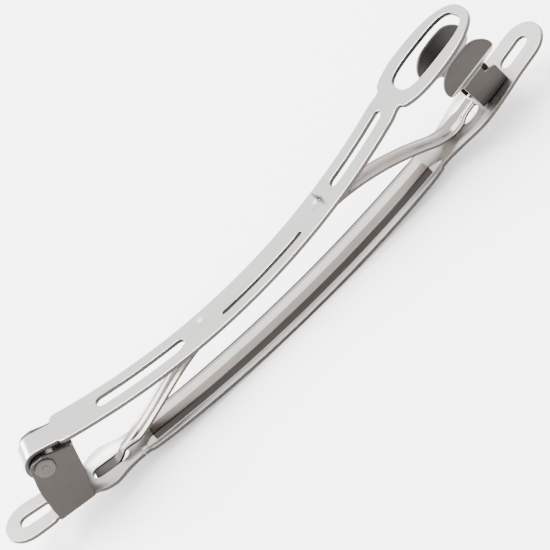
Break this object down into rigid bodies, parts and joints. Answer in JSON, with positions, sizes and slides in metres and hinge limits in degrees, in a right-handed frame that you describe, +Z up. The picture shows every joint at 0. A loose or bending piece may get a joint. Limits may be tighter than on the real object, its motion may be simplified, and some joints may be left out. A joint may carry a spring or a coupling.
{
  "type": "french barrette hair clip",
  "caption": "Bare arched metal barrette: sprung arm with a catch ring, hinged over a slotted base, and a clasp of two squeezable fingers.",
  "frame": {"origin": "under the middle of the arched base, at its lowest point", "axes": "+X along the clip from the hinge to the clasp, +Y across it, +Z up from the base to the arm"},
  "size_m": [0.08, 0.0082, 0.0139],
  "materials": {
    "nickel_base": "nickel plated, satin",
    "nickel_arm": "nickel plated, bright",
    "nickel_bow": "nickel plated, bright",
    "nickel_rivet": "nickel plated, peened",
    "dark_clasp": "nickel plated, satin"
  },
  "bodies": {
    "base": {"base_plate": "nickel_base", "clasp_plate": "dark_clasp", "clasp_rivet": "nickel_rivet"},
    "rivet": {"hinge_rivet": "nickel_rivet"},
    "arm": {"clamping_arm": "nickel_arm"},
    "bow_root": {"bow_root_leg": "nickel_bow"},
    "bow_crest": {"bow_crest": "nickel_bow"},
    "bow_tip": {"bow_tip_leg": "nickel_bow"},
    "near_finger": {"near_finger": "dark_clasp"},
    "far_finger": {"far_finger": "dark_clasp"}
  },
  "joints": [
    {"name": "arm_press", "type": "hinge", "parent": "base", "child": "rivet", "pos_m": [-0.0303, 0, 0.0103], "axis": [0, -1, 0], "range_deg": [-5.6, 0], "stiffness_Nm_per_rad": 0.3, "springref_deg": 1.72, "deforming": ["near_finger", "far_finger"]},
    {"name": "arm_swing", "type": "hinge", "parent": "rivet", "child": "arm", "pos_m": [-0.0303, 0, 0.0103], "axis": [0, -1, 0], "range_deg": [0, 105]},
    {"name": "bow_root_turn", "type": "hinge", "parent": "base", "child": "bow_root", "pos_m": [-0.0244, 0, 0.00295], "axis": [0, -1, 0], "range_deg": [-8.5, 0]},
    {"name": "bow_crest_turn", "type": "hinge", "parent": "bow_root", "child": "bow_crest", "pos_m": [-0.0103, 0, 0.00668], "axis": [0, -1, 0], "range_deg": [0, 2.9]},
    {"name": "bow_tip_turn", "type": "hinge", "parent": "bow_crest", "child": "bow_tip", "pos_m": [0.0106, 0, 0.00771], "axis": [0, -1, 0], "range_deg": [0, 22.5]},
    {"name": "clasp_squeeze", "type": "hinge", "parent": "base", "child": "near_finger", "pos_m": [0.03155, -0.0017, 0.00398], "axis": [-0.9839, 0, -0.1788], "range_deg": [0, 12], "stiffness_Nm_per_rad": 0.02, "springref_deg": -2.86},
    {"name": "far_squeeze", "type": "hinge", "parent": "base", "child": "far_finger", "pos_m": [0.03155, 0.0017, 0.00398], "axis": [0.9839, 0, 0.1788], "range_deg": [0, 12.1]}
  ],
  "couplings": [
    {"joint": "bow_root_turn", "follows": "arm_press", "ratio": 1.5},
    {"joint": "bow_crest_turn", "follows": "arm_press", "ratio": -0.5},
    {"joint": "bow_tip_turn", "follows": "arm_press", "ratio": -4},
    {"joint": "far_squeeze", "follows": "clasp_squeeze", "ratio": 1}
  ]
}
